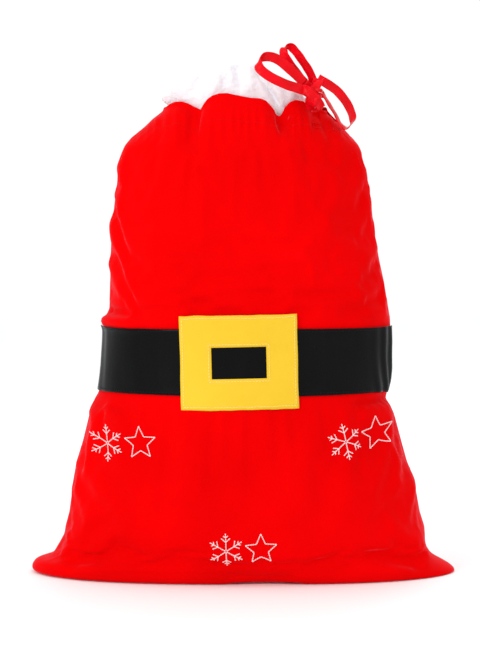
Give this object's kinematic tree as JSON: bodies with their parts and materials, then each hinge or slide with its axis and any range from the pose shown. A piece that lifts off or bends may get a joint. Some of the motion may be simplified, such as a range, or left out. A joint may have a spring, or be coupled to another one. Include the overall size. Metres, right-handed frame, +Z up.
{
  "type": "fabric gift sack",
  "caption": "Tall red velvet gift sack, shown filled, with a black belt strip, a flat yellow buckle, a white plush collar and a knotted satin drawstring.",
  "frame": {"origin": "centre of the base on the surface that the sack stands on, below the middle of its outline", "axes": "+Z up, -Y is the front with the belt buckle, +X to the right seen from the front"},
  "size_m": [0.4808, 0.23, 0.6005],
  "materials": {
    "red_velvet": "short pile velvet",
    "white_plush": "soft plush",
    "red_satin": "glossy satin",
    "red_tape": "woven tape",
    "black_faux_leather": "glossy, slightly creased",
    "yellow_felt": "flat felt",
    "red_thread": "sewing thread",
    "black_thread": "sewing thread",
    "yellow_thread": "sewing thread",
    "pale_thread": "embroidery thread"
  },
  "bodies": {
    "sack": {"front_panel": "red_velvet", "back_panel": "red_velvet", "left_side_seam": "red_thread", "right_side_seam": "red_thread", "bottom_seam": "red_thread", "belt": "black_faux_leather", "belt_upper_stitching": "black_thread", "belt_lower_stitching": "black_thread", "buckle": "yellow_felt", "buckle_outer_stitching": "yellow_thread", "buckle_inner_stitching": "yellow_thread", "left_embroidery": "pale_thread", "right_embroidery": "pale_thread", "bottom_embroidery": "pale_thread", "casing_tape_front": "red_tape", "casing_tape_back": "red_tape", "casing_stitching_front": "red_thread", "casing_stitching_back": "red_thread", "ribbon_exit_stitching": "red_thread", "ribbon_in_casing_front": "red_satin", "ribbon_in_casing_back": "red_satin"},
    "collar_front": {"collar_front": "white_plush"},
    "collar_back": {"collar_back": "white_plush"},
    "drawstring": {"ribbon_neck": "red_satin", "ribbon_knot": "red_satin"},
    "upper_loops": {"ribbon_left_loop": "red_satin", "ribbon_top_loop": "red_satin"},
    "right_loop": {"ribbon_right_loop": "red_satin"}
  },
  "joints": [
    {"name": "drawstring_pull", "type": "slide", "parent": "sack", "child": "drawstring", "axis": [-0.2, -0.74, 0.6422], "range_m": [0, 0.05]},
    {"name": "upper_loops_flop", "type": "hinge", "parent": "drawstring", "child": "upper_loops", "pos_m": [0.076, -0.054, 0.544], "axis": [0.6, 0, 0.8], "range_deg": [0, 60]},
    {"name": "right_loop_swing", "type": "hinge", "parent": "drawstring", "child": "right_loop", "pos_m": [0.076, -0.054, 0.544], "axis": [-0.65, 0, -0.76], "range_deg": [0, 50]},
    {"name": "collar_front_open", "type": "hinge", "parent": "sack", "child": "collar_front", "pos_m": [0, -0.02, 0.522], "axis": [1, 0, 0], "range_deg": [0, 18]},
    {"name": "collar_back_open", "type": "hinge", "parent": "sack", "child": "collar_back", "pos_m": [0, 0.02, 0.522], "axis": [-1, 0, 0], "range_deg": [0, 18]}
  ],
  "couplings": [
    {"joint": "collar_back_open", "follows": "collar_front_open", "ratio": 1}
  ]
}
